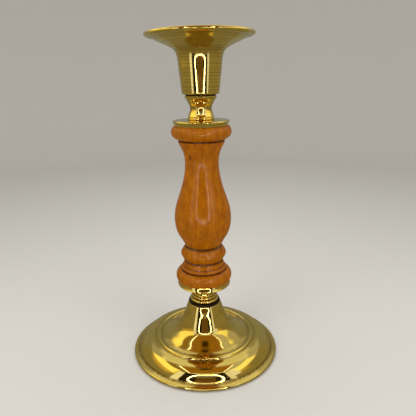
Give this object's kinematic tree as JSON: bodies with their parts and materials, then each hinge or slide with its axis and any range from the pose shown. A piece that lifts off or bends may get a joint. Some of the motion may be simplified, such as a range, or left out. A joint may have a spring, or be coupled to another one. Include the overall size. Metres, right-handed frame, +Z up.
{
  "type": "altar candlestick",
  "caption": "Altar candlestick with a polished brass bell foot, a turned wooden baluster and a screw-on brass candle cup with a wide drip pan.",
  "frame": {"origin": "middle of the underside, on the surface that the felt rests on", "axes": "+Z straight up the turned axis towards the candle; +X and +Y are free, because every piece that shows is round"},
  "size_m": [0.1212, 0.1212, 0.254],
  "materials": {
    "polished_brass": "turned and polished bright, clear lacquer, fine lathe lines on the cup",
    "varnished_wood": "turned close-grained hardwood, honey-brown stain under gloss varnish",
    "steel": "zinc-plated M6 fittings",
    "dark_fibre": "dark brown vulcanised fibre",
    "felt": "dark green pressed wool felt, glued into the foot's underside"
  },
  "bodies": {
    "root": {"felt_pad": "felt", "foot": "polished_brass", "base_washer": "steel", "lock_washer": "steel", "foot_nut": "steel", "tie_rod": "steel", "neck_washer": "dark_fibre", "lower_collar": "polished_brass", "lower_disc": "polished_brass", "baluster": "varnished_wood", "upper_disc": "polished_brass", "cup_stem": "polished_brass"},
    "cup_seat": {"cup_washer": "dark_fibre"},
    "cup": {"candle_cup": "polished_brass", "cup_stud": "steel", "cup_nut": "steel"}
  },
  "joints": [
    {"name": "cup_rise", "type": "slide", "parent": "root", "child": "cup_seat", "axis": [0, 0, 1], "range_m": [0, 0.007]},
    {"name": "cup_turn", "type": "hinge", "parent": "cup_seat", "child": "cup", "pos_m": [0, 0, 0.2114], "axis": [0, 0, 1], "range_deg": [0, 2519.9]}
  ],
  "couplings": [
    {"joint": "cup_rise", "follows": "cup_turn", "m_per_rad": 0.00015915}
  ]
}
